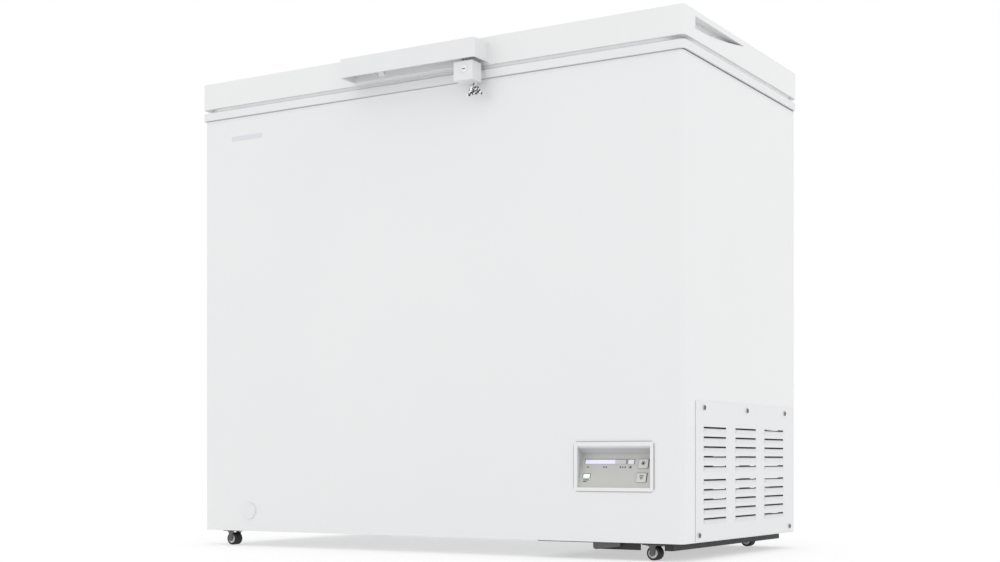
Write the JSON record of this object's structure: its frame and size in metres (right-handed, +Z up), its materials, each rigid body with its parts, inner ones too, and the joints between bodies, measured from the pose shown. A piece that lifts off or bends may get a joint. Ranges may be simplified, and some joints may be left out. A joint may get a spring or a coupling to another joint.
{
  "type": "chest freezer",
  "caption": "White chest freezer with a hinged lid, front handle and lock, recessed control panel, side vent grille, drain and four small castors.",
  "frame": {"origin": "on the floor, under the middle of the whole outline", "axes": "+X to the right of someone facing the front, +Y to the back, +Z up"},
  "size_m": [0.945, 0.533, 0.827],
  "materials": {
    "white_sheet": "gloss",
    "white_plastic": "gloss",
    "liner_white": "satin",
    "foam": "matte",
    "grey_seal": "matte",
    "copper_tube": "satin",
    "steel_zinc": "satin",
    "chrome": "polished",
    "fascia_grey": "satin",
    "button_grey": "satin",
    "bar_lens": "gloss",
    "green_lens": "gloss",
    "board_green": "matte",
    "charcoal_metal": "satin",
    "black_metal": "gloss",
    "black_rubber": "matte",
    "black_plastic": "satin",
    "grey_bracket": "satin",
    "wheel_black": "satin",
    "basket_white": "gloss",
    "grip_blue": "gloss"
  },
  "bodies": {
    "cabinet": {"outer_shell": "white_sheet", "rear_panel": "white_sheet", "bottom_panel": "steel_zinc", "bay_partition": "steel_zinc", "inner_liner": "liner_white", "cabinet_foam": "foam", "rim_collar": "white_plastic", "evaporator_coil": "copper_tube", "condenser_coil": "copper_tube", "lock_housing": "white_plastic", "lock_base": "white_plastic", "lock_ring": "chrome", "control_bezel": "white_plastic", "control_fascia": "fascia_grey", "bar_lens": "bar_lens", "boost_lamp": "bar_lens", "running_lamp": "green_lens", "control_board": "board_green", "compressor_tray": "charcoal_metal", "tray_bracket": "grey_bracket", "compressor": "black_metal", "compressor_feet": "black_rubber", "compressor_bolts": "steel_zinc", "terminal_cover": "black_plastic", "suction_pipe": "copper_tube", "discharge_pipe": "copper_tube", "filter_drier": "copper_tube", "side_grille": "white_plastic", "rear_cover": "steel_zinc", "cord_gland": "black_plastic", "cabinet_screws": "steel_zinc", "drain_tube": "white_plastic", "hinge_brackets": "white_sheet", "hinge_pins": "steel_zinc", "hinge_springs": "steel_zinc", "castor_brackets": "grey_bracket", "castor_axles": "steel_zinc"},
    "lid": {"lid_shell": "white_sheet", "lid_foam": "foam", "lid_liner": "white_plastic", "lid_gasket": "grey_seal", "side_grips": "white_plastic", "handle": "white_plastic", "striker": "steel_zinc", "lid_screws": "steel_zinc", "hinge_leaves": "white_sheet"},
    "lock_core": {"lock_barrel": "chrome", "lock_cam": "steel_zinc"},
    "keys": {"key_ring": "chrome", "key_pair": "chrome"},
    "upper_button": {"upper_button": "button_grey"},
    "lower_button": {"lower_button": "button_grey"},
    "drain_cap": {"drain_cap": "white_plastic"},
    "floor_plug": {"floor_plug": "white_plastic"},
    "basket": {"basket": "basket_white", "basket_grips": "grip_blue"},
    "wheel_front_left": {"wheel_front_left": "wheel_black"},
    "wheel_front_right": {"wheel_front_right": "wheel_black"},
    "wheel_rear_left": {"wheel_rear_left": "wheel_black"},
    "wheel_rear_right": {"wheel_rear_right": "wheel_black"}
  },
  "joints": [
    {"name": "lid_hinge", "type": "hinge", "parent": "cabinet", "child": "lid", "pos_m": [0, 0.2595, 0.777], "axis": [-1, 0, 0], "range_deg": [0, 75]},
    {"name": "lock_turn", "type": "hinge", "parent": "cabinet", "child": "lock_core", "pos_m": [0.109, -0.2605, 0.77], "axis": [0, -1, 0], "range_deg": [0, 90]},
    {"name": "key_swing", "type": "hinge", "parent": "cabinet", "child": "keys", "pos_m": [0.1181, -0.2425, 0.7492], "axis": [0, 1, 0], "range_deg": [-25, 25]},
    {"name": "upper_button_press", "type": "slide", "parent": "cabinet", "child": "upper_button", "axis": [0, 0.95, -0.3123], "range_m": [0, 0.0012], "stiffness_N_per_m": 800},
    {"name": "lower_button_press", "type": "slide", "parent": "cabinet", "child": "lower_button", "axis": [0, 0.95, -0.3123], "range_m": [0, 0.0012], "stiffness_N_per_m": 800},
    {"name": "wheel_front_left_spin", "type": "hinge", "parent": "cabinet", "child": "wheel_front_left", "pos_m": [-0.415, -0.2025, 0.011], "axis": [0, 1, 0], "continuous": true},
    {"name": "wheel_front_right_spin", "type": "hinge", "parent": "cabinet", "child": "wheel_front_right", "pos_m": [0.415, -0.2025, 0.011], "axis": [0, 1, 0], "continuous": true},
    {"name": "wheel_rear_left_spin", "type": "hinge", "parent": "cabinet", "child": "wheel_rear_left", "pos_m": [-0.395, 0.2205, 0.011], "axis": [0, 1, 0], "continuous": true},
    {"name": "wheel_rear_right_spin", "type": "hinge", "parent": "cabinet", "child": "wheel_rear_right", "pos_m": [0.395, 0.2205, 0.011], "axis": [0, 1, 0], "continuous": true},
    {"name": "drain_cap_pull", "type": "slide", "parent": "cabinet", "child": "drain_cap", "axis": [0, -1, 0], "range_m": [0, 0.03]},
    {"name": "floor_plug_lift", "type": "slide", "parent": "cabinet", "child": "floor_plug", "axis": [0, 0, 1], "range_m": [0, 0.03]},
    {"name": "basket_slide", "type": "slide", "parent": "cabinet", "child": "basket", "axis": [-1, 0, 0], "range_m": [0, 0.49]}
  ]
}
